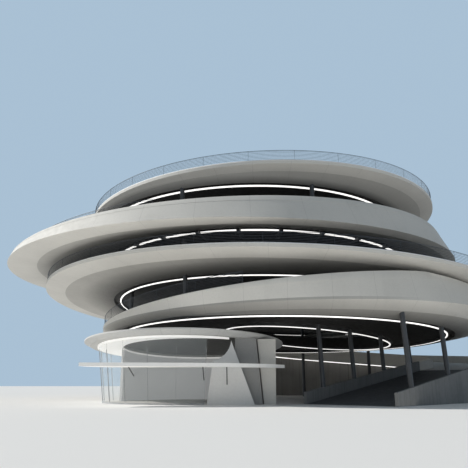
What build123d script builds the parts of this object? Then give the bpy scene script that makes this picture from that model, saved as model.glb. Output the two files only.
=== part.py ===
from build123d import *

import os
from collections import namedtuple
from math import cos, pi, radians, sin

# Round multi storey car park: tilted saucer decks on a ring of columns, with an entry ramp under
# the lowest deck and a round entrance pavilion in front. Modelled at half size, in millimetres,
# +Z up, ground level at Z = 0. The street front faces -Y. The source is laid out round a point of
# the ground under the decks; the files are written round the middle of the pavilion's floor.

M = 500.0  # one metre of the real building

Ring = namedtuple("Ring", "x y z radius rise_x rise_y")


def ring(x, y, z, radius, rise_x=0.0, rise_y=0.0):
    """A circle in a tilted plane: centre and radius in real metres, rise per unit of X and Y."""
    return Ring(x * M, y * M, z * M, radius * M, rise_x, rise_y)


# Decks, each from its upper edge down to the light ring under it
TOP_5 = ring(-0.4, -3.0, 21.6, 21.4, 0.030, -0.032)
CREASE_5 = ring(-0.7, -3.3, 21.0, 20.1, 0.025, -0.028)
LIGHT_5 = ring(-2.0, -3.7, 20.4, 17.8, 0.010, -0.020)

TOP_4 = ring(-5.0, -0.8, 16.95, 26.8, 0.056, -0.022)
RIM_4 = ring(-4.3, -1.35, 15.2, 27.5, 0.005, -0.005)
CREASE_4 = ring(-3.1, -2.5, 14.95, 25.0, 0.0, -0.006)
LIGHT_4 = ring(-0.9, -6.8, 14.6, 17.45, -0.020, -0.048)
FLOOR_4 = ring(-4.3, -1.35, 15.85, 27.0, 0.013, -0.008)

TOP_3 = ring(1.4, 0.5, 11.55, 29.1, -0.040, -0.052)
CREASE_3 = ring(1.1, -0.2, 10.98, 26.3, -0.039, -0.049)
LIGHT_3 = ring(2.4, -0.3, 10.75, 21.0, -0.042, -0.046)

TOP_2 = ring(2.3, -6.6, 9.54, 21.4, 0.095, -0.045)
RIM_2 = ring(3.6, -5.2, 7.79, 22.9, 0.020, -0.030)
CREASE_2 = ring(2.9, -6.6, 7.12, 20.9, 0.005, -0.030)
LIGHT_2 = ring(1.6, -8.4, 6.75, 17.9, -0.012, -0.030)
FLOOR_2 = ring(3.6, -5.2, 8.01, 22.9, 0.025, -0.030)

# Oval opening in the lowest deck, over the hall
VOID_CENTRE = (5.4 * M, -7.6 * M)
VOID_LONG = 14.1 * M
VOID_SHORT = 7.0 * M
VOID_TURN = 51.0

LIP = 0.30 * M  # upright edge round a deck without a parapet
RECESS_WIDTH = 0.75 * M  # dark groove between the soffit's edge and the light ring
RECESS_DEPTH = 0.30 * M
PARAPET_WALL = 0.25 * M
PARAPET_GAP = (84.0, 114.0)  # left open in the lowest parapet, for the ramp's landing
PARAPET_CLEARANCE = 0.05 * M  # under the soffit of the deck above
JOINT_GAP = 0.3  # fit between cast lengths that stand against each other

# Light rings, and the radial beams under deck 4 that break its ring
LIGHT_WIDTH = 0.16 * M
LIGHT_DROP = 0.12 * M  # of the strip under the curved climb
BEAM_COUNT = 28
BEAM_WIDTH = 0.32 * M
BEAM_HEIGHT = 0.45 * M
BEAM_LENGTH = 2.6 * M
BEAM_TURN = -86.0

# Railings
RAIL_HEIGHT = 1.10 * M
RAIL_BAR = 0.05 * M
POST_BAR = 0.06 * M
RAIL_INSET = 0.12 * M
RAIL_LEVELS = 4
BAY_ANGLE = 30.0
SPANS_PER_BAY = 6
RAIL_INSET_4 = 1.7 * M
LOW_SIDE_4 = (135.0, 4)  # first angle and bays, where the parapet runs out
LOW_SIDE_2 = (135.0, 4)

# Columns
COLUMN_RADIUS = 0.225 * M
COLUMN_SPOTS = (
    (3.75, -21.35), (12.5, -13.0), (17.0, -2.5), (15.5, 9.0), (6.5, 13.0),
    (-3.5, 14.5), (-11.5, 9.0), (-16.6, 1.0), (-16.0, -8.5), (-8.6, -18.9),
)
GROUND_COLUMNS = (3, 4, 5, 6, 7)
RAKED_COLUMN = 9  # this one leans outwards from the lowest deck up
RAKE = (-0.045, -0.13)

# Entry ramp: a straight climb, then a curve round the back up to the lowest deck
RAMP_FOOT = (5.6 * M, -24.85 * M)
RAMP_HEADING = 45.5
RAMP_WIDTH = 9.3 * M
RAMP_LENGTH = 22.0 * M
RAMP_RISE = 3.3 * M
RAMP_SLAB = 0.40 * M
RAMP_WALL = 0.30 * M
RAMP_PARAPET = 1.05 * M
CURVE_RADIUS = 20.0 * M
CURVE_ANGLE = 156.0
CURVE_RISE = 3.8 * M
CURVE_PARTS = 6
CURVE_WALL_SEAT = 1.0 * M  # from a parapet's face to the wall that carries the slab
LANDING_ANGLE = 15.0
FAR_COLUMNS = (2.9 * M, 8.3 * M, 14.3 * M, 20.5 * M)
NEAR_COLUMNS = (2.7 * M, 10.0 * M, 17.5 * M)
COLUMN_LEAN = 3.0

# Entrance pavilion
PAVILION = ring(-9.0, -16.1, 5.64, 9.9, 0.0, -0.075)
ROOF_LIP = 0.14 * M
ROOF_DEPTH = 0.45 * M
ROOF_BEVEL = 0.60 * M
ROOF_CROWN = 0.17 * M  # roof left over the recessed ceiling
CEILING_THICKNESS = 0.06 * M
RIBBON_RADIUS = 8.6 * M
RIBBON_DROP = 0.17 * M
BOWL = ring(-7.6, -16.7, 0.0, 7.4)
FLOOR_THICKNESS = 0.12 * M
GLASS_TOP_RADIUS = 8.55 * M
GLASS_FOOT_RADIUS = 7.85 * M
GLASS_THICKNESS = 0.06 * M
GLASS_START = -216.0
GLASS_END = -72.0
GLASS_PANELS = 8
WALL = 0.25 * M
INNER_WALL_RUNS = ((-9.5, 18.0, 1), (33.0, 180.0, 6))  # start, end and lengths, either side of the doorway
SIDE_WALL_RADIUS = 9.0 * M
SIDE_WALL_START = -44.0
SIDE_WALL_END = -13.0
SIDE_WALL_PARTS = 2

# Folded entrance wall: a white fin, a shaded leaf and a tapering pier, as outlines seen from the
# street (X and height), each with its distance back
FIN_FRONT = -23.6 * M
FIN_TOP = (-4.25 * M, 5.45 * M)
FIN_BELLY = (-4.65 * M, 4.45 * M)
FIN_SHOULDER = (-5.85 * M, 3.70 * M)
FIN_LEFT = (-6.35 * M, 0.0)
FIN_RIGHT = (-2.20 * M, 0.0)
LEAF_FRONT = -23.0 * M
LEAF_LEFT = -3.9 * M
LEAF_RIGHT_TOP = -2.45 * M
LEAF_RIGHT_FOOT = -1.47 * M
PIER_FRONT = -22.6 * M
PIER_DEPTH = 2.60 * M  # cut off where it meets the side wall
PIER_TOP = (-2.30 * M, -0.20 * M)
PIER_FOOT = (-1.35 * M, -0.30 * M)

# Canopy blade in front of the pavilion, with its brackets
CANOPY_TOP = 3.38 * M
CANOPY_THICKNESS = 0.28 * M
CANOPY_FRONT = ((-16.3, -28.5), (-8.5, -27.9), (-3.0, -26.2), (0.5, -22.9))
CANOPY_BACK = ((-0.5, -23.5), (-4.0, -24.4), (-9.0, -25.0), (-12.6, -24.8), (-16.0, -26.9))
BRACKET_RADIUS = 0.045 * M
BRACKET_HEAD = -26.0 * M
BRACKET_REACH = 4.0 * M  # towards the pavilion, cut off at the glass or the fin
BRACKETS = ((-12.8 * M, 1.0 * M), (-6.6 * M, 1.9 * M), (-4.6 * M, 2.3 * M))  # X and drop over the reach

HIGH = 40.0 * M  # longer than anything upright
WIDE = 90.0 * M  # wider than anything level

NODES = {}


def tilted(shape_ring, lift=0.0):
    """The ring's own plane, raised by lift."""
    return Plane(
        origin=(shape_ring.x, shape_ring.y, shape_ring.z + lift),
        x_dir=(1, 0, shape_ring.rise_x),
        z_dir=(-shape_ring.rise_x, -shape_ring.rise_y, 1),
    )


def height_at(shape_ring, x, y):
    """Height of the ring's plane over a point of the ground."""
    return shape_ring.z + shape_ring.rise_x * (x - shape_ring.x) + shape_ring.rise_y * (y - shape_ring.y)


def circle(shape_ring, grow=0.0, lift=0.0):
    """The ring as a wire, with its radius and height changed."""
    return Wire.make_circle(shape_ring.radius + grow, tilted(shape_ring, lift))


def skin(*wires):
    """Solid whose skin runs straight from each circle to the next, closed by flat discs."""
    return Solid.make_loft(wires, ruled=True)


def solids_of(shape):
    """All solids of one shape or of a list of shapes."""
    shapes = shape if isinstance(shape, list) else [shape]
    return [solid for item in shapes for solid in item.solids()]


def one(shape):
    """The shape itself, or several pieces as one compound."""
    pieces = solids_of(shape)
    return pieces[0] if len(pieces) == 1 else Compound(children=pieces)


def below(shape, shape_ring, lift=0.0):
    return one(shape.split(tilted(shape_ring, lift), keep=Keep.BOTTOM))


def above(shape, shape_ring, lift=0.0):
    return one(shape.split(tilted(shape_ring, lift), keep=Keep.TOP))


def saucer(*upper, crease, light):
    """Deck body: upper edge circles, then the crease, the soffit and the recess over the light ring."""
    return skin(
        *upper,
        circle(crease),
        circle(light, grow=RECESS_WIDTH),
        circle(light, grow=RECESS_WIDTH, lift=RECESS_DEPTH),
    )


def parapet(body, top, rim):
    """The part of a deck's body that stands over its floor, hollowed."""
    hollow = skin(
        circle(rim, grow=-PARAPET_WALL, lift=-M),
        circle(top, grow=-PARAPET_WALL, lift=M),
    )
    return body - hollow


def light_hoop(light):
    """Square-edged strip of light that hangs from the recess."""
    outer = Solid.make_cylinder(light.radius, 2 * RECESS_DEPTH, tilted(light))
    inner = Solid.make_cylinder(light.radius - LIGHT_WIDTH, 2 * RECESS_DEPTH, tilted(light))
    return below(outer - inner, light, RECESS_DEPTH)


def railing_bay(radius, drop):
    """Posts and straight bars of one bay, round the Z axis from the X axis on; drop lengthens the posts."""
    step = BAY_ANGLE / SPANS_PER_BAY
    reach = radius * cos(radians(step / 2))
    span = 2 * radius * sin(radians(step / 2))
    bay = None
    for index in range(SPANS_PER_BAY):
        for level in range(1, RAIL_LEVELS + 1):
            height = RAIL_HEIGHT * level / RAIL_LEVELS - RAIL_BAR / 2
            bar = Box(RAIL_BAR, span, RAIL_BAR).moved(Location((reach, 0, height)))
            bar = bar.rotate(Axis.Z, (index + 0.5) * step)
            bay = bar if bay is None else bay + bar
    for index in range(SPANS_PER_BAY + 1):
        inward = 0.0
        if index == 0:
            inward = 0.25
        if index == SPANS_PER_BAY:
            inward = -0.25
        post = Box(POST_BAR, POST_BAR, RAIL_HEIGHT + drop).moved(Location((radius, 0, (RAIL_HEIGHT - drop) / 2)))
        bay += post.rotate(Axis.Z, index * step + inward)
    ends = Box(WIDE, 4 * POST_BAR, HIGH).moved(Location((WIDE / 2, -2 * POST_BAR, 0)))
    bay -= ends
    return bay - ends.mirror(Plane.XZ).rotate(Axis.Z, BAY_ANGLE)


def railing(top, first, count, inset=RAIL_INSET, drop=0.0):
    """Bays of railing on a deck's edge, from the angle first on."""
    bay = railing_bay(top.radius - inset, drop)
    place = tilted(top).location
    return [place * bay.rotate(Axis.Z, first + BAY_ANGLE * index) for index in range(count)]


def columns(foot, deck, indices):
    """Columns from a floor plane, or from the ground, up to the underside of the deck."""
    shafts = []
    for index in indices:
        x, y = (value * M for value in COLUMN_SPOTS[index])
        rake = RAKE if index == RAKED_COLUMN else (0.0, 0.0)
        base = FLOOR_2.z - M if foot else 0.0
        shaft = Solid.make_cylinder(COLUMN_RADIUS, HIGH, Plane(origin=(x, y, base), z_dir=(*rake, 1)))
        if foot:
            shaft = above(shaft, foot)
        shafts.append(lowest(shaft - deck))
    return shafts


def lowest(shape):
    """The piece of a shape that stands lowest."""
    return min(solids_of(shape), key=lambda piece: piece.bounding_box().min.Z)


def void_face(shrink=0.0):
    """The oval opening in plan, at ground level."""
    plane = Plane(origin=(*VOID_CENTRE, 0)).rotated((0, 0, VOID_TURN))
    return Face(Wire([Edge.make_ellipse(VOID_LONG - shrink, VOID_SHORT - shrink, plane)]))


def sector(start, end):
    """Tall wedge round the Z axis between two angles."""
    half = Solid.make_cylinder(WIDE, HIGH, angle=end - start)
    return half.rotate(Axis.Z, start)


def upright(face, height):
    return Solid.extrude(face, Vector(0, 0, height))


def side_profile(points, width):
    """Prism with an outline in the XZ plane, centred on the X axis."""
    outline = Wire.make_polygon([(x, -width / 2, z) for x, z in points])
    return Solid.extrude(Face(outline), Vector(0, width, 0))


RAMP_PLACE = Location((*RAMP_FOOT, 0), (0, 0, RAMP_HEADING))


def straight_slab():
    run = RAMP_SLAB * RAMP_LENGTH / RAMP_RISE
    outline = [(0, 0), (RAMP_LENGTH, RAMP_RISE), (RAMP_LENGTH, RAMP_RISE - RAMP_SLAB), (run, 0)]
    return RAMP_PLACE * side_profile(outline, RAMP_WIDTH - 2 * RAMP_WALL)


def straight_wall(side):
    """Wall along one side of the straight climb, from the ground to the top of its parapet."""
    top = RAMP_RISE + RAMP_PARAPET
    outline = [(0, 0), (0, RAMP_PARAPET), (RAMP_LENGTH, top), (RAMP_LENGTH, 0)]
    shift = side * (RAMP_WIDTH - RAMP_WALL) / 2
    return RAMP_PLACE * Location((0, shift, 0)) * side_profile(outline, RAMP_WALL)


def curve_part(index, low, high, inner, outer):
    """One length of the curved climb: a section between two radii and two heights, swept up."""
    step = CURVE_ANGLE / CURVE_PARTS
    rise = CURVE_RISE / CURVE_PARTS
    gap = JOINT_GAP / CURVE_RADIUS * 180 / pi
    centre_line = Edge.make_helix(rise * 360 / step, rise * (step - gap) / step, CURVE_RADIUS)
    section = Plane.XZ * Pos((inner + outer) / 2, (low + high) / 2) * Rectangle(outer - inner, high - low)
    length = sweep(section.face(), path=centre_line, is_frenet=True)
    turn = RAMP_HEADING - 90 + index * step
    return CURVE_PLACE * length.rotate(Axis.Z, turn).moved(Location((0, 0, index * rise)))


CURVE_PLACE = RAMP_PLACE * Location((RAMP_LENGTH, CURVE_RADIUS, RAMP_RISE), (0, 0, -RAMP_HEADING))
INNER_EDGE = CURVE_RADIUS - RAMP_WIDTH / 2
OUTER_EDGE = CURVE_RADIUS + RAMP_WIDTH / 2


def curve(low, high, inner, outer):
    return [curve_part(index, low, high, inner, outer) for index in range(CURVE_PARTS)]


def ramp_columns(side, distances, deck):
    """Slightly raked columns from a ramp wall up to the deck."""
    shafts = []
    wall_top = Plane(
        origin=(0, 0, RAMP_PARAPET), x_dir=(RAMP_LENGTH, 0, RAMP_RISE), z_dir=(-RAMP_RISE, 0, RAMP_LENGTH)
    )
    for distance in distances:
        foot = Location((distance, side * (RAMP_WIDTH - RAMP_WALL) / 2, 0), (-COLUMN_LEAN, 0, 0))
        shaft = foot * Cylinder(COLUMN_RADIUS, HIGH, align=(Align.CENTER, Align.CENTER, Align.MIN))
        shaft = RAMP_PLACE * one(shaft.split(wall_top, keep=Keep.TOP))
        shafts.append(lowest(shaft - deck))
    return shafts


# Decks
deck_5 = saucer(circle(TOP_5), circle(TOP_5, lift=-LIP), crease=CREASE_5, light=LIGHT_5)
deck_3 = saucer(circle(TOP_3), circle(TOP_3, lift=-LIP), crease=CREASE_3, light=LIGHT_3)
whole_4 = saucer(circle(TOP_4), circle(RIM_4), crease=CREASE_4, light=LIGHT_4)
deck_4 = below(whole_4, FLOOR_4)
whole_2 = saucer(circle(TOP_2), circle(RIM_2), crease=CREASE_2, light=LIGHT_2)
deck_2 = below(whole_2, FLOOR_2) - upright(void_face(), HIGH)

NODES["deck_5"] = deck_5
NODES["deck_4"] = deck_4
NODES["deck_3"] = deck_3
NODES["deck_2"] = deck_2
NODES["parapet_4"] = parapet(above(whole_4, FLOOR_4), TOP_4, RIM_4)
body_2 = below(above(whole_2, FLOOR_2), LIGHT_3, -PARAPET_CLEARANCE)
NODES["parapet_2"] = parapet(body_2, TOP_2, RIM_2) - sector(*PARAPET_GAP).moved(Location((RIM_2.x, RIM_2.y, 0)))

# Railings
NODES["railing_5"] = railing(TOP_5, 0, 12)
bays_4 = railing(TOP_4, *LOW_SIDE_4, inset=RAIL_INSET_4, drop=M)
NODES["railing_4"] = [max(solids_of(bay - deck_4), key=lambda piece: piece.volume) for bay in bays_4]
NODES["railing_3"] = railing(TOP_3, 0, 12)
NODES["railing_2"] = railing(TOP_2, *LOW_SIDE_2)

# Columns
every_column = range(len(COLUMN_SPOTS))
NODES["columns_4"] = columns(FLOOR_4, deck_5, every_column)
NODES["columns_3"] = columns(TOP_3, deck_4, every_column)
NODES["columns_2"] = columns(FLOOR_2, deck_3, every_column)
NODES["columns_1"] = columns(None, deck_2, GROUND_COLUMNS)

# Entry ramp
NODES["ramp_slab"] = straight_slab()
NODES["ramp_wall_near"] = straight_wall(-1)
NODES["ramp_wall_far"] = straight_wall(1)
NODES["curve_slab"] = curve(-RAMP_SLAB, 0, INNER_EDGE + RAMP_WALL, OUTER_EDGE - RAMP_WALL)
NODES["curve_parapet_inner"] = curve(-2 * RAMP_SLAB, RAMP_PARAPET, INNER_EDGE, INNER_EDGE + RAMP_WALL)
NODES["curve_parapet_outer"] = curve(-2 * RAMP_SLAB, RAMP_PARAPET, OUTER_EDGE - RAMP_WALL, OUTER_EDGE)
NODES["ramp_columns_near"] = ramp_columns(-1, NEAR_COLUMNS, deck_2)
NODES["ramp_columns_far"] = ramp_columns(1, FAR_COLUMNS, deck_2)


# Curved climb: walls under its slab, and the landing on the lowest deck
wall_inner = INNER_EDGE + CURVE_WALL_SEAT
wall_outer = OUTER_EDGE - CURVE_WALL_SEAT
for name, radius in (("curve_wall_inner", wall_inner), ("curve_wall_outer", wall_outer - RAMP_WALL)):
    tall = curve(-HIGH / 4, -RAMP_SLAB, radius, radius + RAMP_WALL)
    NODES[name] = [part.split(Plane.XY, keep=Keep.TOP) for part in tall]

landing_ring = Face(Wire.make_circle(OUTER_EDGE)) - Face(Wire.make_circle(INNER_EDGE - M))
landing = upright(landing_ring.face(), RAMP_SLAB) & sector(
    RAMP_HEADING - 90 + CURVE_ANGLE, RAMP_HEADING - 90 + CURVE_ANGLE + LANDING_ANGLE
)
NODES["ramp_landing"] = CURVE_PLACE * Location((0, 0, CURVE_RISE - RAMP_SLAB)) * landing - deck_2



def ceiling_beam(index):
    """Radial beam under deck 4's recessed ceiling, outwards to the edge of the recess."""
    reach = LIGHT_4.radius + RECESS_WIDTH
    beam = Box(BEAM_LENGTH, BEAM_WIDTH, HIGH).moved(Location((reach - BEAM_LENGTH / 2 - LIP, 0, 0)))
    beam = tilted(LIGHT_4).location * beam.rotate(Axis.Z, BEAM_TURN + index * 360 / BEAM_COUNT)
    return above(below(beam, LIGHT_4, RECESS_DEPTH), LIGHT_4, RECESS_DEPTH - BEAM_HEIGHT)


def clear_of(shape, others):
    """A shape cut back from its neighbours."""
    for other in others:
        shape = one(shape - other)
    return shape


shafts_3 = Compound(children=solids_of(NODES["columns_3"]))
NODES["ceiling_beams_4"] = [clear_of(ceiling_beam(index), [shafts_3]) for index in range(BEAM_COUNT)]

# Light rings, broken where a column or a beam passes them
for name, light in (("5", LIGHT_5), ("4", LIGHT_4), ("3", LIGHT_3), ("2", LIGHT_2)):
    NODES["light_ring_" + name] = clear_of(light_hoop(light), NODES.get("columns_" + str(int(name) - 1), []))
NODES["light_ring_4"] = clear_of(NODES["light_ring_4"], NODES["ceiling_beams_4"])

# Light under the inner edge of the curved climb
NODES["light_ring_curve"] = curve(
    -2 * RAMP_SLAB - LIGHT_DROP, -2 * RAMP_SLAB, INNER_EDGE, INNER_EDGE + LIGHT_WIDTH
)

# Hall light, hung from the edge of the oval opening
hall_light = upright(void_face(), HIGH) - upright(void_face(LIGHT_WIDTH), HIGH)
NODES["light_ring_hall"] = below(above(hall_light, LIGHT_2), LIGHT_2, RECESS_DEPTH)

# Pavilion roof, with its bowl-shaped ceiling cut off centre and a white ribbon round it
bowl_hole = Solid.make_cylinder(BOWL.radius, HIGH, Plane(origin=(BOWL.x, BOWL.y, 0)))
bowl = below(bowl_hole, PAVILION, -ROOF_CROWN)
roof = skin(
    circle(PAVILION),
    circle(PAVILION, lift=-ROOF_LIP),
    circle(PAVILION, grow=-ROOF_BEVEL, lift=-ROOF_DEPTH),
)
NODES["pavilion_roof"] = roof - bowl
ribbon = Solid.make_cylinder(RIBBON_RADIUS, HIGH, Plane(origin=(PAVILION.x, PAVILION.y, 0)))
ribbon = above(below(ribbon, PAVILION, -ROOF_DEPTH), PAVILION, -ROOF_DEPTH - RIBBON_DROP)
NODES["pavilion_ribbon"] = ribbon - bowl_hole
NODES["pavilion_ceiling"] = above(bowl, PAVILION, -ROOF_CROWN - CEILING_THICKNESS)

# Pavilion floor, glass and walls
NODES["pavilion_floor"] = Solid.make_cylinder(
    GLASS_FOOT_RADIUS - GLASS_THICKNESS, FLOOR_THICKNESS, Plane(origin=(PAVILION.x, PAVILION.y, 0))
)


def pavilion_band(foot_radius, top_radius, thickness, start, end, parts, lift, centre=PAVILION):
    """Lengths of wall that lean from one radius at the ground to another at the roof's level."""
    step = (end - start) / parts
    lean = (top_radius - foot_radius) / centre.z if centre.z else 0.0
    outline = Wire.make_polygon([
        (foot_radius - thickness, 0, 0),
        (foot_radius, 0, 0),
        (foot_radius + lean * HIGH / 4, 0, HIGH / 4),
        (foot_radius - thickness + lean * HIGH / 4, 0, HIGH / 4),
    ])
    gap = JOINT_GAP / foot_radius * 180 / pi
    panel = Solid.revolve(Face(outline), step - gap, Axis.Z)
    lengths = []
    for index in range(parts):
        length = panel.rotate(Axis.Z, start + index * step).moved(Location((centre.x, centre.y, 0)))
        lengths.append(below(length, PAVILION, lift))
    return lengths


under_roof = -ROOF_DEPTH
under_ribbon = -ROOF_DEPTH - RIBBON_DROP
NODES["pavilion_glass"] = pavilion_band(
    GLASS_FOOT_RADIUS, GLASS_TOP_RADIUS, GLASS_THICKNESS, GLASS_START, GLASS_END, GLASS_PANELS, under_ribbon
)
inner_radius = BOWL.radius + WALL
NODES["pavilion_inner_wall"] = [
    length - NODES["pavilion_floor"]
    for start, end, parts in INNER_WALL_RUNS
    for length in pavilion_band(inner_radius, inner_radius, WALL, start, end, parts, under_ribbon, BOWL)
]
NODES["pavilion_side_wall"] = pavilion_band(
    SIDE_WALL_RADIUS, SIDE_WALL_RADIUS, WALL, SIDE_WALL_START, SIDE_WALL_END, SIDE_WALL_PARTS, under_roof
)


def street_plate(outline, front, depth):
    """Upright plate with a closed outline seen from the street, cut off under the roof."""
    plate = Solid.extrude(Face(outline), Vector(0, depth, 0)).moved(Location((0, front, 0)))
    return below(plate, PAVILION, under_roof)


def seen(point):
    return (point[0], 0, point[1])


fin_edge = Edge.make_spline([seen(FIN_TOP), seen(FIN_BELLY), seen(FIN_SHOULDER)])
fin_outline = Wire([
    fin_edge,
    Edge.make_line(seen(FIN_SHOULDER), seen(FIN_LEFT)),
    Edge.make_line(seen(FIN_LEFT), seen(FIN_RIGHT)),
    Edge.make_line(seen(FIN_RIGHT), seen(FIN_TOP)),
])
NODES["entrance_fin"] = street_plate(fin_outline, FIN_FRONT, WALL) - NODES["pavilion_floor"]
leaf_height = HIGH / 4
NODES["entrance_leaf"] = street_plate(
    Wire.make_polygon([
        (LEAF_LEFT, 0, 0), (LEAF_RIGHT_FOOT, 0, 0), (LEAF_RIGHT_TOP, 0, leaf_height), (LEAF_LEFT, 0, leaf_height),
    ]),
    LEAF_FRONT, WALL,
)
NODES["entrance_pier"] = street_plate(
    Wire.make_polygon([
        (PIER_FOOT[0], 0, 0), (PIER_FOOT[1], 0, 0), (PIER_TOP[1], 0, leaf_height), (PIER_TOP[0], 0, leaf_height),
    ]),
    PIER_FRONT, PIER_DEPTH,
) - Solid.make_cylinder(SIDE_WALL_RADIUS, HIGH, Plane(origin=(PAVILION.x, PAVILION.y, 0)))

# Canopy
front = Edge.make_spline([(x * M, y * M, 0) for x, y in CANOPY_FRONT])
back = Edge.make_spline([(x * M, y * M, 0) for x, y in CANOPY_BACK])
blade = Wire([front, Edge.make_line(front @ 1, back @ 0), back, Edge.make_line(back @ 1, front @ 0)])
NODES["canopy"] = upright(Face(blade), CANOPY_THICKNESS).moved(Location((0, 0, CANOPY_TOP - CANOPY_THICKNESS)))

def bracket(x, drop):
    """Rod from the canopy's underside back and down to the glass or the fin behind it."""
    head = Vector(x, BRACKET_HEAD, CANOPY_TOP - CANOPY_THICKNESS)
    run = Vector(0, BRACKET_REACH, -drop)
    rod = Solid.make_cylinder(BRACKET_RADIUS, run.length, Plane(origin=head, z_dir=run))
    for other in (NODES["canopy"], NODES["entrance_fin"], *NODES["pavilion_glass"]):
        rod = one(rod - other)
    return min(solids_of(rod), key=lambda piece: piece.center().Y)


NODES["canopy_brackets"] = [bracket(*place) for place in BRACKETS]


def write_parts():
    """One file a node, moved so that the underside of the pavilion's floor is at the origin."""
    os.makedirs("parts", exist_ok=True)
    place = Location((-PAVILION.x, -PAVILION.y, 0))
    for name, shape in NODES.items():
        export_step(one(shape).moved(place), "parts/" + name + ".step")


write_parts()
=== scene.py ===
from math import atan, cos, degrees, pi, radians, sin

import bmesh
import bpy
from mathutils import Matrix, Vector


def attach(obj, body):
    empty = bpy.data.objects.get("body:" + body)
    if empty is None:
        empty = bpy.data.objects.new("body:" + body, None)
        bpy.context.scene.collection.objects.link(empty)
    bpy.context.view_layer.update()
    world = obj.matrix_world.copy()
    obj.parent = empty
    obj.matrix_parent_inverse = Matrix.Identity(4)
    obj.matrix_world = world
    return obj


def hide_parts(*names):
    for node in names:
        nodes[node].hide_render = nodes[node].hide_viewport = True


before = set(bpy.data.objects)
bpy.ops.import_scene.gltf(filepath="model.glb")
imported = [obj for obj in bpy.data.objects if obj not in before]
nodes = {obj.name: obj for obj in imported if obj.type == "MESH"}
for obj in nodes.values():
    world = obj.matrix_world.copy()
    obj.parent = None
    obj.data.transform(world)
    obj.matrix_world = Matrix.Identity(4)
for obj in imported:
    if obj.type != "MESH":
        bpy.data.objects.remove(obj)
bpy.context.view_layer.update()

# The real building is laid out in metres round a point under the decks, and the part is a 1:2
# model of it. at() and Ring turn real metres into the model's frame, whose origin is under the
# pavilion's floor. Angles are in degrees.
SCALE = 0.5
PAVILION_SPOT = (-9.0, -16.1)


def at(x, y, z=0.0):
    """A point of the model from the real building's metres."""
    return Vector(((x - PAVILION_SPOT[0]) * SCALE, (y - PAVILION_SPOT[1]) * SCALE, z * SCALE))


class Ring:
    """A circle in a tilted plane: centre and radius in real metres, rise per unit of X and Y."""

    def __init__(self, x, y, z, radius, rise_x, rise_y):
        self.centre = at(x, y, z)
        self.radius = radius * SCALE
        self.rise_x = rise_x
        self.rise_y = rise_y
        up = Vector((-rise_x, -rise_y, 1)).normalized()
        self.east = Vector((1, 0, rise_x)).normalized()
        self.north = up.cross(self.east)

    def point(self, turn, grow=0.0, lift=0.0):
        """The point at an angle, grow outside the circle; lift is straight up."""
        reach = self.radius + grow * SCALE
        flat = self.east * cos(radians(turn)) + self.north * sin(radians(turn))
        return self.centre + flat * reach + Vector((0, 0, lift * SCALE))

    def height(self, spot):
        """Height of the ring's plane over a point."""
        east = spot.x - self.centre.x
        north = spot.y - self.centre.y
        return self.centre.z + self.rise_x * east + self.rise_y * north


# Circles of each deck: TOP is its upper edge, RIM the foot of its parapet, CREASE the edge between
# the band and the soffit, FLOOR its surface and LIGHT the light ring under it
TOP_5 = Ring(-0.4, -3.0, 21.6, 21.4, 0.030, -0.032)
CREASE_5 = Ring(-0.7, -3.3, 21.0, 20.1, 0.025, -0.028)
LIGHT_5 = Ring(-2.0, -3.7, 20.4, 17.8, 0.010, -0.020)

TOP_4 = Ring(-5.0, -0.8, 16.95, 26.8, 0.056, -0.022)
RIM_4 = Ring(-4.3, -1.35, 15.2, 27.5, 0.005, -0.005)
CREASE_4 = Ring(-3.1, -2.5, 14.95, 25.0, 0.0, -0.006)
FLOOR_4 = Ring(-4.3, -1.35, 15.85, 27.0, 0.013, -0.008)
LIGHT_4 = Ring(-0.9, -6.8, 14.6, 17.45, -0.020, -0.048)

TOP_3 = Ring(1.4, 0.5, 11.55, 29.1, -0.040, -0.052)
CREASE_3 = Ring(1.1, -0.2, 10.98, 26.3, -0.039, -0.049)
LIGHT_3 = Ring(2.4, -0.3, 10.75, 21.0, -0.042, -0.046)

TOP_2 = Ring(2.3, -6.6, 9.54, 21.4, 0.095, -0.045)
RIM_2 = Ring(3.6, -5.2, 7.79, 22.9, 0.020, -0.030)
CREASE_2 = Ring(2.9, -6.6, 7.12, 20.9, 0.005, -0.030)
FLOOR_2 = Ring(3.6, -5.2, 8.01, 22.9, 0.025, -0.030)
LIGHT_2 = Ring(1.6, -8.4, 6.75, 17.9, -0.012, -0.030)

PAVILION = Ring(-9.0, -16.1, 5.64, 9.9, 0.0, -0.075)  # edge of the pavilion's roof

# Camera: at eye height in the street, pitched up
FRAME_WIDTH = 468  # pixels
FOCAL_LENGTH = 560  # pixels
HORIZON_DROP = 151  # pixels from the middle of the frame down to the horizon
SENSOR_WIDTH = 36.0
EYE = (-4, -74, 1.65)

camera_data = bpy.data.cameras.new("camera")
camera_data.sensor_width = SENSOR_WIDTH
camera_data.lens = SENSOR_WIDTH * FOCAL_LENGTH / FRAME_WIDTH
camera_data.clip_end = 1000
camera = bpy.data.objects.new("camera", camera_data)
camera.location = at(*EYE)
camera.rotation_euler = (radians(90) + atan(HORIZON_DROP / FOCAL_LENGTH), 0, 0)
bpy.context.scene.collection.objects.link(camera)
bpy.context.scene.camera = camera


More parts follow.
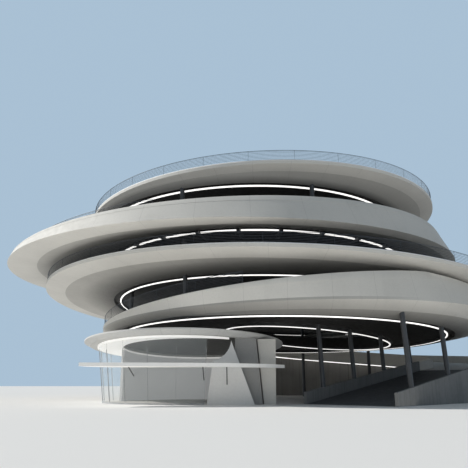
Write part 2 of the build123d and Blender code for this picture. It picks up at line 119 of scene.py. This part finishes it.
# Materials
class Shader:
    """A material under construction: short ways to add and join nodes."""

    def __init__(self, name):
        self.material = bpy.data.materials.new(name)
        self.material.use_nodes = True
        self.tree = self.material.node_tree
        self.surface = self.tree.nodes["Principled BSDF"]
        coordinates = self.add("ShaderNodeTexCoord")
        self.place = coordinates.outputs["Object"]
        self.facing = coordinates.outputs["Normal"]

    def add(self, kind, **inputs):
        """A new node with the named inputs linked or set."""
        node = self.tree.nodes.new(kind)
        for key, value in inputs.items():
            self.join(value, node.inputs[key])
        return node

    def join(self, value, socket):
        """Links another node's output to a socket, or sets the socket to a constant."""
        if isinstance(value, bpy.types.NodeSocket):
            self.tree.links.new(value, socket)
        else:
            socket.default_value = value

    def set(self, name, value):
        """Sets one of the surface's own values."""
        self.surface.inputs[name].default_value = value

    def math(self, operation, first, second=0.0, third=0.0):
        node = self.tree.nodes.new("ShaderNodeMath")
        node.operation = operation
        for value, socket in zip((first, second, third), node.inputs):
            self.join(value, socket)
        return node.outputs[0]

    def times(self, first, second):
        return self.math("MULTIPLY", first, second)

    def noise(self, scale, detail=4.0, stretch=None):
        place = self.place
        if stretch:
            place = self.add("ShaderNodeMapping", Vector=place, Scale=stretch).outputs[0]
        node = self.add("ShaderNodeTexNoise", Vector=place, Scale=scale, Detail=detail)
        return node.outputs["Fac"]

    def ramp(self, value, low, high, to_low=0.0, to_high=1.0):
        """Maps value from low..high to to_low..to_high, held at the ends."""
        node = self.add("ShaderNodeMapRange")
        names = ("Value", "From Min", "From Max", "To Min", "To Max")
        for key, number in zip(names, (value, low, high, to_low, to_high)):
            self.join(number, node.inputs[key])
        return node.outputs[0]

    def patches(self, scale, detail, low, high, to_low=0.0, to_high=1.0, stretch=None):
        """Soft patches of noise: to_low where it is under low, to_high where it is over high."""
        return self.ramp(self.noise(scale, detail, stretch), low, high, to_low, to_high)

    def mix(self, share, first, second, blend="MIX"):
        """first where share is zero, blended with second where it is one."""
        node = self.tree.nodes.new("ShaderNodeMix")
        node.data_type = "RGBA"
        node.blend_type = blend
        self.join(share, node.inputs[0])
        for value, socket in ((first, node.inputs[6]), (second, node.inputs[7])):
            self.join((*value, 1.0) if isinstance(value, tuple) else value, socket)
        return node.outputs[2]

    def shade(self, share, colour, factor):
        """colour, multiplied by factor where share is one."""
        return self.mix(share, colour, (factor, factor, factor), "MULTIPLY")

    def cloudy(self, share, colour, spread):
        """colour where share is one, darker by spread where it is zero."""
        return self.mix(share, tuple(channel * (1 - spread) for channel in colour), colour)

    def axis(self, name, source=None):
        """One coordinate of the place, or of another vector."""
        return self.add("ShaderNodeSeparateXYZ", Vector=source or self.place).outputs[name]

    def from_centre(self, spot):
        """X and Y away from a point of the model."""
        away = self.tree.nodes.new("ShaderNodeVectorMath")
        away.operation = "SUBTRACT"
        self.join(self.place, away.inputs[0])
        away.inputs[1].default_value = spot
        return self.axis("X", away.outputs[0]), self.axis("Y", away.outputs[0])

    def reach(self, spot):
        """Level distance from a point of the model."""
        x, y = self.from_centre(spot)
        return self.math("SQRT", self.math("ADD", self.times(x, x), self.times(y, y)))

    def inside(self, ring, grow=0.0):
        """One within a ring's radius from its axis, else zero."""
        return self.math("LESS_THAN", self.reach(ring.centre), ring.radius + grow * SCALE)

    def under(self, ring, lift):
        """One where a point is lower than the ring's plane raised by lift, else zero."""
        x, y = self.from_centre(ring.centre)
        plane = self.math("MULTIPLY_ADD", x, ring.rise_x, ring.centre.z + lift * SCALE)
        plane = self.math("MULTIPLY_ADD", y, ring.rise_y, plane)
        return self.math("LESS_THAN", self.axis("Z"), plane)

    def spokes(self, spot, count, width):
        """One on radial lines of a width in model metres, else zero."""
        x, y = self.from_centre(spot)
        step = 2 * pi / count
        turn = self.math("DIVIDE", self.math("ARCTAN2", y, x), step)
        off = self.math("ABSOLUTE", self.math("SUBTRACT", self.math("FRACT", turn), 0.5))
        arc = self.times(self.times(off, step), self.reach(spot))
        return self.math("LESS_THAN", arc, width / 2)

    def bands(self, direction, spacing, width):
        """One on lines across a level direction, else zero."""
        x = self.times(self.axis("X"), direction[0])
        y = self.times(self.axis("Y"), direction[1])
        along = self.math("ADD", x, y)
        part = self.math("FRACT", self.math("DIVIDE", along, spacing))
        return self.math("LESS_THAN", part, width / spacing)

    def bump(self, height, strength, distance):
        node = self.add("ShaderNodeBump", Height=height, Strength=strength, Distance=distance)
        self.join(node.outputs[0], self.surface.inputs["Normal"])

    def finish(self, colour, roughness):
        self.join(colour, self.surface.inputs["Base Color"])
        self.join(roughness, self.surface.inputs["Roughness"])
        return self.material


JOINT_WIDTH = 0.012  # casting joints, in the model
PANEL_JOINT_WIDTH = 0.015
PANEL_WIDTH = 1.25
RUNS_DOWN = (1.0, 1.0, 0.12)  # stretch of noise into upright runs
STREAKS_DOWN = (1.0, 1.0, 0.05)
FACING_DOWN = 0.3  # highest Z of a normal that counts as an underside
FACING_UP = 0.9  # lowest Z of a normal that counts as a top
# near-black paint under each deck inside its light ring: painted shade for the groove and the dark
# storey
CEILING_SHADE_PAINT = (0.016, 0.015, 0.014)
WEARING_COURSE = ((0.21, 0.21, 0.215), (0.29, 0.29, 0.29))
LAMP_LIGHT = (1.0, 0.985, 0.955, 1.0)
# colour of painted light: a glow given to a surface that is no lamp
PAINTED_ROOM_GLOW = (0.96, 0.98, 1.0, 1.0)


def concrete(
    name, colour, spread=0.08, grain=1.0, dirt=0.35,
    ceiling=None, soffit=None, floor=None, joints=None, glow=0.0,
):
    """Cast concrete: cloudy tone, fine grain and faint runs of dirt.

    ceiling is a ring and a margin, inside which the underside is painted near-black as painted
    shade for the groove and the dark storey, and soffit the crease inside which the underside gets
    painted shade, a step darker and darker still towards that ring, with the width it darkens
    over.
    floor is a ring and a margin, inside which the top is a grey wearing course.
    joints gives the ring and number of radial casting joints, and glow the strength of painted
    light: the surface itself glows as if a lit room shone on it.
    """
    s = Shader(name)
    clouds = s.patches(scale=0.35, detail=6.0, low=0.35, high=0.65)
    speckle = s.patches(scale=14.0, detail=3.0, low=0.42, high=0.72)
    runs = s.patches(scale=1.4, detail=4.0, low=0.55, high=0.75, stretch=RUNS_DOWN)
    gloss = s.patches(scale=5.0, detail=4.0, low=0.3, high=0.7, to_low=0.62, to_high=0.82)
    tone = s.cloudy(clouds, colour, spread)
    tone = s.shade(s.times(speckle, 0.22), tone, 0.82)
    tone = s.shade(s.times(runs, dirt), tone, 0.80)
    waves = s.times(s.noise(scale=2.2, detail=3.0), 0.6)
    relief = s.math("ADD", s.noise(scale=22.0, detail=5.0), waves)
    if joints:
        ring, count = joints
        line = s.spokes(ring.centre, count, JOINT_WIDTH)
        tone = s.shade(s.times(line, 0.5), tone, 0.55)
        relief = s.math("SUBTRACT", relief, line)
    # painted shade: the underside inside a light ring and its groove is painted near-black
    if ceiling:
        ring, margin = ceiling
        downward = s.math("LESS_THAN", s.axis("Z", s.facing), FACING_DOWN)
        painted = s.times(s.inside(ring, margin), downward)
        if soffit:
            crease, width = soffit
            # painted shade: the underside inside the crease is a step darker, and darkens further
            # towards the light ring
            tone = s.shade(s.times(s.inside(crease), downward), tone, 0.74)
            edge = ring.radius + margin * SCALE
            recess_shade = s.ramp(s.reach(ring.centre), edge, edge + width * SCALE, 0.75, 0.0)
            tone = s.shade(s.times(recess_shade, downward), tone, 0.10)
        tone = s.mix(painted, tone, CEILING_SHADE_PAINT)
    if floor:
        upward = s.math("GREATER_THAN", s.axis("Z", s.facing), FACING_UP)
        worn = s.times(s.inside(*floor), upward)
        tyres = s.patches(scale=0.8, detail=5.0, low=0.3, high=0.7)
        tone = s.mix(worn, tone, s.mix(tyres, *WEARING_COURSE))
    # painted light: the surface glows as if lit by a room's lamps
    if glow:
        s.set("Emission Color", PAINTED_ROOM_GLOW)
        s.set("Emission Strength", glow)
    s.bump(relief, strength=0.25 * grain, distance=0.01)
    return s.finish(tone, gloss)


def panels(name, colour, direction, spread=0.12):
    """Precast wall with upright joints and streaks that run down from its top."""
    s = Shader(name)
    clouds = s.patches(scale=0.6, detail=5.0, low=0.35, high=0.65)
    streaks = s.patches(scale=5.0, detail=5.0, low=0.48, high=0.70, stretch=STREAKS_DOWN)
    gloss = s.patches(scale=5.0, detail=4.0, low=0.3, high=0.7, to_low=0.6, to_high=0.8)
    line = s.bands(direction, PANEL_WIDTH, PANEL_JOINT_WIDTH)
    tone = s.cloudy(clouds, colour, spread)
    tone = s.shade(s.times(streaks, 0.55), tone, 0.70)
    tone = s.shade(line, tone, 0.45)
    relief = s.math("ADD", s.noise(scale=24.0, detail=5.0), s.times(streaks, 0.5))
    s.bump(s.math("SUBTRACT", relief, line), strength=0.3, distance=0.01)
    return s.finish(tone, gloss)


def metal(name, colour, rough=0.42, metallic=0.0):
    """Satin paint or steel: faint mottling in colour and gloss."""
    s = Shader(name)
    s.set("Metallic", metallic)
    s.bump(s.noise(scale=60.0, detail=3.0), strength=0.12, distance=0.002)
    mottle = s.patches(scale=3.0, detail=5.0, low=0.35, high=0.7)
    gloss = s.patches(
        scale=9.0, detail=4.0, low=0.3, high=0.7, to_low=rough - 0.08, to_high=rough + 0.12
    )
    return s.finish(s.cloudy(mottle, colour, spread=0.18), gloss)


def lamp(name, strength, lit_under=None):
    """Diffuser of a light strip, unevenly lit; unlit and dark over the plane lit_under."""
    s = Shader(name)
    glow = s.patches(
        scale=1.2, detail=2.0, low=0.3, high=0.7, to_low=strength * 0.9, to_high=strength
    )
    tone = s.mix(s.noise(scale=8.0), (0.88, 0.88, 0.86), (0.94, 0.94, 0.92))
    if lit_under:
        lit = s.under(*lit_under)
        glow = s.times(glow, lit)
        tone = s.mix(lit, (0.03, 0.03, 0.032), tone)
    s.set("Emission Color", LAMP_LIGHT)
    s.join(glow, s.surface.inputs["Emission Strength"])
    return s.finish(tone, roughness=0.4)


def glazing(name):
    """Thin clear glass: mostly see-through, with a faint even haze."""
    s = Shader(name)
    s.set("Alpha", 0.11)
    haze = s.patches(
        scale=1.0, detail=4.0, low=0.4, high=0.75, to_low=0.02, to_high=0.06,
        stretch=(1.0, 1.0, 0.3),
    )
    tint = s.mix(s.noise(scale=0.6, detail=2.0), (0.60, 0.66, 0.68), (0.68, 0.73, 0.74))
    return s.finish(tint, haze)


SHELL = (0.70, 0.685, 0.645)  # the pale concrete of decks and parapets
SHELL_DIRT = 0.22
SHELL_JOINTS = 36
GROOVE_SHADE = 0.77  # width of the painted shade that stands for the groove outside a light ring
RAMP_ALONG = (cos(radians(45.5)), sin(radians(45.5)))  # level direction of the straight ramp
HALL_ALONG = (0.8, 0.6)  # direction that the hall walls' joints are spaced along

white = concrete("white_render", (0.80, 0.80, 0.79), spread=0.04, grain=0.5, dirt=0.12)
# kerb render is whiter than the shell: partly the white render of kerbs and canopy, partly a
# painted highlight for the light on their edges
kerb = concrete("kerb_render_highlight", (0.92, 0.92, 0.91), spread=0.03, grain=0.4, dirt=0.05)
# painted light: the pavilion's ribbon glows though it holds no lamp, standing in for sunlight on
# it
ribbon_painted_glow = lamp("ribbon_painted_light", strength=0.36)
grey = concrete("grey_concrete", (0.48, 0.475, 0.46))
pale = concrete("pale_concrete", SHELL, dirt=SHELL_DIRT)
shell_4 = concrete("parapet_shell_4", SHELL, joints=(TOP_4, SHELL_JOINTS), dirt=SHELL_DIRT)
shell_2 = concrete("parapet_shell_2", SHELL, joints=(TOP_2, SHELL_JOINTS), dirt=SHELL_DIRT)
# the pavilion's inner wall glows faintly: painted light standing in for a lit room
lining = concrete(
    "lining_plaster", (0.80, 0.80, 0.79), spread=0.05, grain=0.4, dirt=0.05, glow=0.13
)
roofing = concrete("pavilion_roofing", (0.62, 0.62, 0.61), joints=(PAVILION, 24), dirt=0.22)
# the leaf is painted much darker than the white fin beside it: painted shade for the shaded face
# of that folded wall
leaf = concrete("leaf_shade_concrete", (0.33, 0.33, 0.325))
ramp_wall = panels("ramp_panels", (0.21, 0.212, 0.21), RAMP_ALONG)
hall_wall = panels("hall_panels", (0.30, 0.29, 0.275), HALL_ALONG, spread=0.2)
asphalt = concrete("ramp_surface", (0.085, 0.085, 0.088), spread=0.25, grain=2.0)
dark_ceiling = concrete("dark_ceiling", (0.125, 0.125, 0.12))
paint = metal("column_paint", (0.050, 0.051, 0.055))
steel = metal("rail_steel", (0.055, 0.065, 0.080), rough=0.45, metallic=0.2)
housing = metal("lamp_housing", (0.030, 0.030, 0.032), rough=0.5, metallic=0.3)
glass_frame = metal("glass_frame", (0.50, 0.51, 0.52), rough=0.35, metallic=0.2)
bay_paint = concrete("bay_paint", (0.78, 0.78, 0.76), spread=0.15, grain=0.6)
strip_light = lamp("strip_light", strength=1.25)
hall_light = lamp("hall_strip_light", strength=1.1, lit_under=(LIGHT_2, 0.07))
clear_glass = glazing("clear_glass")


def dress(material, *names):
    """Gives solids of the part a material."""
    for name in names:
        mesh = nodes[name].data
        mesh.materials.clear()
        mesh.materials.append(material)


# Deck, its upper edge, its light ring, its wearing course and where its soffit gets painted shade
for level, top, light, course, soffit in (
    ("5", TOP_5, LIGHT_5, (TOP_5, -0.45), (CREASE_5, 0.8)),
    ("4", TOP_4, LIGHT_4, (FLOOR_4, -0.5), (CREASE_4, 5.0)),
    ("3", TOP_3, LIGHT_3, (TOP_3, -0.45), (CREASE_3, 4.0)),
    ("2", TOP_2, LIGHT_2, (FLOOR_2, -0.5), (CREASE_2, 2.2)),
):
    shell = concrete(
        "shell_" + level, SHELL, dirt=SHELL_DIRT, ceiling=(light, GROOVE_SHADE), soffit=soffit,
        floor=course, joints=(top, SHELL_JOINTS),
    )
    dress(shell, "deck_" + level)

dress(shell_4, "parapet_4")
dress(shell_2, "parapet_2")
dress(pale, "curve_parapet_inner", "curve_parapet_outer", "entrance_pier", "pavilion_floor")
dress(grey, "curve_slab", "pavilion_side_wall", "ramp_landing")
dress(white, "entrance_fin")
dress(kerb, "canopy")
dress(leaf, "entrance_leaf")
dress(paint, "columns_1", "columns_2", "columns_3", "columns_4", "ceiling_beams_4")
dress(paint, "ramp_columns_far", "ramp_columns_near", "canopy_brackets")
dress(hall_wall, "curve_wall_inner", "curve_wall_outer")
dress(ramp_wall, "ramp_wall_far", "ramp_wall_near")
dress(asphalt, "ramp_slab")
dress(roofing, "pavilion_roof")
dress(dark_ceiling, "pavilion_ceiling")
dress(lining, "pavilion_inner_wall")
dress(ribbon_painted_glow, "pavilion_ribbon")
dress(clear_glass, "pavilion_glass")
dress(housing, "light_ring_2", "light_ring_3", "light_ring_4", "light_ring_5")
dress(strip_light, "light_ring_curve")
dress(hall_light, "light_ring_hall")
dress(steel, "railing_2", "railing_3", "railing_4", "railing_5")


# Mesh helpers. A strip is a list of cross-sections, and a section a list of points.
FULL_TURN = 360
TURN_STEP = 1.5
SHARP_EDGE = 35


def whole(start, end):
    """True if the angles span a whole turn."""
    return end - start >= FULL_TURN


def turns_of(start, end, step=TURN_STEP):
    """Angles from start to end; a whole turn leaves its last angle out."""
    count = round((end - start) / step)
    steps = range(count if whole(start, end) else count + 1)
    return [start + (end - start) * index / count for index in steps]


def strip_faces(strip, closed, first):
    """Faces round a strip whose points are numbered from first, with flat ends if it is open."""
    size = len(strip[0])
    faces = []
    for index in range(len(strip) if closed else len(strip) - 1):
        near = first + index * size
        far = first + (index + 1) % len(strip) * size
        for step in range(size):
            after = (step + 1) % size
            faces.append((near + step, near + after, far + after, far + step))
    if not closed:
        last = first + (len(strip) - 1) * size
        faces.append(tuple(range(first, first + size)))
        faces.append(tuple(range(last, last + size)))
    return faces


def mesh_piece(name, strips, closed, material):
    """A new piece made of strips, riding on the one body."""
    points, faces = [], []
    for strip in strips:
        faces += strip_faces(strip, closed, len(points))
        for section in strip:
            points += section
    mesh = bpy.data.meshes.new(name)
    mesh.from_pydata(points, [], faces)
    work = bmesh.new()
    work.from_mesh(mesh)
    bmesh.ops.recalc_face_normals(work, faces=work.faces)
    work.to_mesh(mesh)
    work.free()
    mesh.materials.append(material)
    mesh.shade_smooth()
    mesh.set_sharp_from_angle(angle=radians(SHARP_EDGE))
    piece = bpy.data.objects.new(name, mesh)
    bpy.context.scene.collection.objects.link(piece)
    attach(piece, "root")
    return piece


def bar(path, closed, radius, sides):
    """Strip of a round bar along a path of points; the radius is in real metres."""
    strip = []
    for index, spot in enumerate(path):
        ahead = path[(index + 1) % len(path)] if closed or index < len(path) - 1 else spot
        behind = path[index - 1] if closed or index > 0 else spot
        along = (ahead - behind).normalized()
        side = along.cross(Vector((0, 0, 1)))
        side = side.normalized() if side.length > 1e-4 else Vector((1, 0, 0))
        over = side.cross(along)
        turns = [2 * pi * step / sides for step in range(sides)]
        strip.append(
            [spot + (side * cos(turn) + over * sin(turn)) * (radius * SCALE) for turn in turns]
        )
    return strip


# Railings: fine wires and a top rail on thin posts
RAIL_HEIGHT = 1.10
RAIL_SECTIONS = 240
WIRE_GAPS = 8
WIRE_RADIUS = 0.015
TOP_RAIL_RADIUS = 0.026
TOP_RAIL_HEIGHT = RAIL_HEIGHT - 0.03
POST_RADIUS = 0.013
POST_STEP = 12
POST_FOOT = -0.02


def railing(name, ring, start, end, node, inset=0.12):
    """Stands in for a railing's plain solid; inset is its distance from the deck's edge."""
    closed = whole(start, end)
    turns = turns_of(start, end, (end - start) / RAIL_SECTIONS)

    def along(height, radius, sides):
        path = [ring.point(turn, -inset, height) for turn in turns]
        return bar(path, closed, radius, sides)

    wires = [
        along(RAIL_HEIGHT * level / WIRE_GAPS, WIRE_RADIUS, 6) for level in range(1, WIRE_GAPS)
    ]
    wire = mesh_piece(name + "_wires", wires, closed, steel)
    top = [along(TOP_RAIL_HEIGHT, TOP_RAIL_RADIUS, 8)]
    mesh_piece(name + "_top", top, closed, steel)
    posts = []
    for turn in turns_of(start, end, POST_STEP):
        path = [ring.point(turn, -inset, height) for height in (POST_FOOT, TOP_RAIL_HEIGHT)]
        posts.append(bar(path, False, POST_RADIUS, 6))
    mesh_piece(name + "_posts", posts, False, steel)
    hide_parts(node)


LOW_SIDE = (135, 255)  # where the parapets of decks 4 and 2 are too low to stand at

railing("deck_rail_5", TOP_5, 0, FULL_TURN, "railing_5")
railing("deck_rail_4", TOP_4, *LOW_SIDE, "railing_4", inset=1.7)
railing("deck_rail_3", TOP_3, 0, FULL_TURN, "railing_3")
railing("deck_rail_2", TOP_2, *LOW_SIDE, "railing_2")


# Rounded kerbs along the upper edges of decks 5 and 3, just inside the skin; their whiter render
# is partly a painted highlight
KERB_RADIUS = 0.12
KERB_INSET = 0.005
KERB_LIFT = 0.01


def nosing(name, ring):
    """A round kerb all the way round a deck."""
    grow = -KERB_INSET - KERB_RADIUS
    path = [ring.point(turn, grow, KERB_LIFT) for turn in turns_of(0, FULL_TURN)]
    mesh_piece(name, [bar(path, True, KERB_RADIUS, 12)], True, kerb)


nosing("deck_nosing_5", TOP_5)
nosing("deck_nosing_3", TOP_3)


# Copings on the leaning parapets, between a deck's top and rim circles
COPING_PROUD = 0.02
COPING_LIMIT = 0.07  # below the plane that ends parapet 2
PARAPET_2_SPAN = (116, 442)  # it is open where the ramp comes in


def coping(name, top, rim, share, start, end, material, limit=None):
    """A coping that reaches down a share of the way to the rim, under the plane of limit.

    Each corner of its section is a share of the way to the rim, a grow and a lift.
    """
    corners = (
        (share, COPING_PROUD, 0.0), (0.03, COPING_PROUD, 0.0), (0.0, -0.03, 0.04),
        (0.0, -0.22, 0.04), (0.03, -0.27, 0.0), (share, -0.27, 0.0),
    )
    strip = []
    for turn in turns_of(start, end):
        section = []
        for part, grow, lift in corners:
            spot = top.point(turn, grow, lift).lerp(rim.point(turn, grow, lift), part)
            if limit:
                spot.z = min(spot.z, limit.height(spot) - COPING_LIMIT * SCALE)
            section.append(spot)
        strip.append(section)
    mesh_piece(name, [strip], whole(start, end), material)


coping("parapet_coping_4", TOP_4, RIM_4, 0.2, 0, FULL_TURN, shell_4)
coping("parapet_coping_2", TOP_2, RIM_2, 0.26, *PARAPET_2_SPAN, shell_2, limit=LIGHT_3)

# Light strips: an angle-shaped diffuser under each dark housing, in lengths between the beams
BEAM_COUNT = 28
BEAM_TURN = -86.0
BEAM_HALF_TURN = 0.65


def diffuser(name, ring, height, spans=((0, FULL_TURN),)):
    """A diffuser in one length for each span, with an outer lip of a height over the ring."""
    outline = (
        (-0.13, -0.025), (0.02, -0.025), (0.02, height), (-0.02, height), (-0.02, 0.01),
        (-0.13, 0.01),
    )
    strips = [
        [[ring.point(turn, grow, lift) for grow, lift in outline] for turn in turns_of(*span)]
        for span in spans
    ]
    mesh_piece(name, strips, whole(*spans[0]), strip_light)


beam_turns = [BEAM_TURN + index * (FULL_TURN / BEAM_COUNT) for index in range(BEAM_COUNT + 1)]
beam_spans = [
    (start + BEAM_HALF_TURN, end - BEAM_HALF_TURN)
    for start, end in zip(beam_turns, beam_turns[1:])
]
diffuser("diffuser_5", LIGHT_5, 0.10)
diffuser("diffuser_4", LIGHT_4, 0.09, beam_spans)
diffuser("diffuser_3", LIGHT_3, 0.07)
diffuser("diffuser_2", LIGHT_2, 0.07)

# Painted parking bays: radial lines round the decks' edges
BAY_LENGTH = 5.0
LINE_HALF_WIDTH = 0.05
LINE_HEIGHT = 0.012


def bay_lines(name, ring, step, start=0.0, end=FULL_TURN, inset=0.7):
    """Lines every step degrees; inset is from the ring to their outer ends."""
    strips = []
    for index in range(round((end - start) / step)):
        turn = start + index * step
        strip = []
        for grow in (-inset, -inset - BAY_LENGTH):
            half = degrees(LINE_HALF_WIDTH * SCALE / (ring.radius + grow * SCALE))
            left, right = turn - half, turn + half
            strip.append([
                ring.point(left, grow), ring.point(right, grow),
                ring.point(right, grow, LINE_HEIGHT), ring.point(left, grow, LINE_HEIGHT),
            ])
        strips.append(strip)
    mesh_piece(name, strips, False, bay_paint)


bay_lines("bay_lines_5", TOP_5, FULL_TURN / 50)
bay_lines("bay_lines_3", TOP_3, FULL_TURN / 68)
bay_lines("bay_lines_4", FLOOR_4, FULL_TURN / 64, start=-140.0, end=140.0, inset=1.2)

# Glass frame: a slim fin at each joint of the leaning glass, and a rail along its foot
GLASS_TURNS = [-216.0 + 18.0 * index for index in range(9)]
GLASS_FOOT = 7.85
GLASS_TOP = 8.55
FIN_HALF_TURN = 0.06
FIN_SHARES = (0.03, 0.86)
FIN_FRONT, FIN_BACK = 0.02, -0.05
FOOT_SHARE = 0.022
FOOT_FRONT, FOOT_BACK = 0.04, -0.10


def glass_spot(turn, share, out):
    """A point out of the glass, share of the way up to the roof's level."""
    reach = (GLASS_FOOT + (GLASS_TOP - GLASS_FOOT) * share + out) * SCALE
    x, y = reach * cos(radians(turn)), reach * sin(radians(turn))
    return Vector((x, y, PAVILION.centre.z * share))


fins = []
for turn in GLASS_TURNS:
    left, right = turn - FIN_HALF_TURN, turn + FIN_HALF_TURN
    fins.append([
        [
            glass_spot(left, share, FIN_FRONT), glass_spot(right, share, FIN_FRONT),
            glass_spot(right, share, FIN_BACK), glass_spot(left, share, FIN_BACK),
        ]
        for share in FIN_SHARES
    ])
mesh_piece("glass_fins", fins, False, glass_frame)

foot_rail = [
    [
        glass_spot(turn, 0.0, FOOT_FRONT), glass_spot(turn, FOOT_SHARE, FOOT_FRONT),
        glass_spot(turn, FOOT_SHARE, FOOT_BACK), glass_spot(turn, 0.0, FOOT_BACK),
    ]
    for turn in turns_of(GLASS_TURNS[0], GLASS_TURNS[-1])
]
mesh_piece("glass_foot_rail", [foot_rail], False, glass_frame)

# Stage: a pale floor
FLOOR_REACH = 400
FLOOR_TONES = ((0.79, 0.785, 0.775), (0.82, 0.815, 0.805))

floor_look = Shader("studio_floor")
floor_tone = floor_look.mix(floor_look.noise(scale=0.05, detail=2.0), *FLOOR_TONES)
floor_mesh = bpy.data.meshes.new("studio_floor")
floor_corners = [
    (-FLOOR_REACH, -FLOOR_REACH, 0), (FLOOR_REACH, -FLOOR_REACH, 0),
    (FLOOR_REACH, FLOOR_REACH, 0), (-FLOOR_REACH, FLOOR_REACH, 0),
]
floor_mesh.from_pydata(floor_corners, [], [(0, 1, 2, 3)])
floor_mesh.materials.append(floor_look.finish(floor_tone, roughness=0.9))
floor = bpy.data.objects.new("studio_floor", floor_mesh)
bpy.context.scene.collection.objects.link(floor)

# World: soft sky light on the part, and a pale blue backdrop that the camera, gloss and glass see
SKY_LIGHT = (0.74, 0.87, 1.0, 1)
SKY_STRENGTH = 0.29
BACKDROP = (0.40, 0.53, 0.66, 1)

world = bpy.data.worlds.new("studio")
bpy.context.scene.world = world
world.use_nodes = True
tree = world.node_tree
sky = tree.nodes["Background"]
sky.inputs["Color"].default_value = SKY_LIGHT
sky.inputs["Strength"].default_value = SKY_STRENGTH
backdrop = tree.nodes.new("ShaderNodeBackground")
backdrop.inputs["Color"].default_value = BACKDROP
path = tree.nodes.new("ShaderNodeLightPath")
seen = path.outputs["Is Camera Ray"]
for ray in ("Is Glossy Ray", "Is Transmission Ray"):
    either = tree.nodes.new("ShaderNodeMath")
    either.operation = "MAXIMUM"
    tree.links.new(seen, either.inputs[0])
    tree.links.new(path.outputs[ray], either.inputs[1])
    seen = either.outputs[0]
blend = tree.nodes.new("ShaderNodeMixShader")
tree.links.new(seen, blend.inputs[0])
tree.links.new(sky.outputs[0], blend.inputs[1])
tree.links.new(backdrop.outputs[0], blend.inputs[2])
tree.links.new(blend.outputs[0], tree.nodes["World Output"].inputs["Surface"])

# Lamps: a sun from the left and a little behind, and a wide soft lamp on the floor in front,
# which stands for bright paving
SUN_DIRECTION = (-0.791, 0.168, 0.588)
FILL_SIZE = (38.0, 11.0)
FILL_SPOT = (4.5, -10.5, 0.02)

sun_data = bpy.data.lights.new("sun", "SUN")
sun_data.energy = 3.5
sun_data.angle = radians(2.5)
sun_data.color = (1.0, 0.97, 0.92)
sun = bpy.data.objects.new("sun", sun_data)
sun.rotation_euler = Vector(SUN_DIRECTION).to_track_quat("Z", "Y").to_euler()
bpy.context.scene.collection.objects.link(sun)

fill_data = bpy.data.lights.new("floor_fill", "AREA")
fill_data.shape = "RECTANGLE"
fill_data.size, fill_data.size_y = FILL_SIZE
fill_data.energy = 600.0
fill_data.color = (1.0, 0.95, 0.86)
fill = bpy.data.objects.new("floor_fill", fill_data)
fill.location = FILL_SPOT
fill.rotation_euler = (pi, 0, 0)
fill.visible_camera = False
bpy.context.scene.collection.objects.link(fill)

bpy.context.scene.view_settings.view_transform = "Standard"
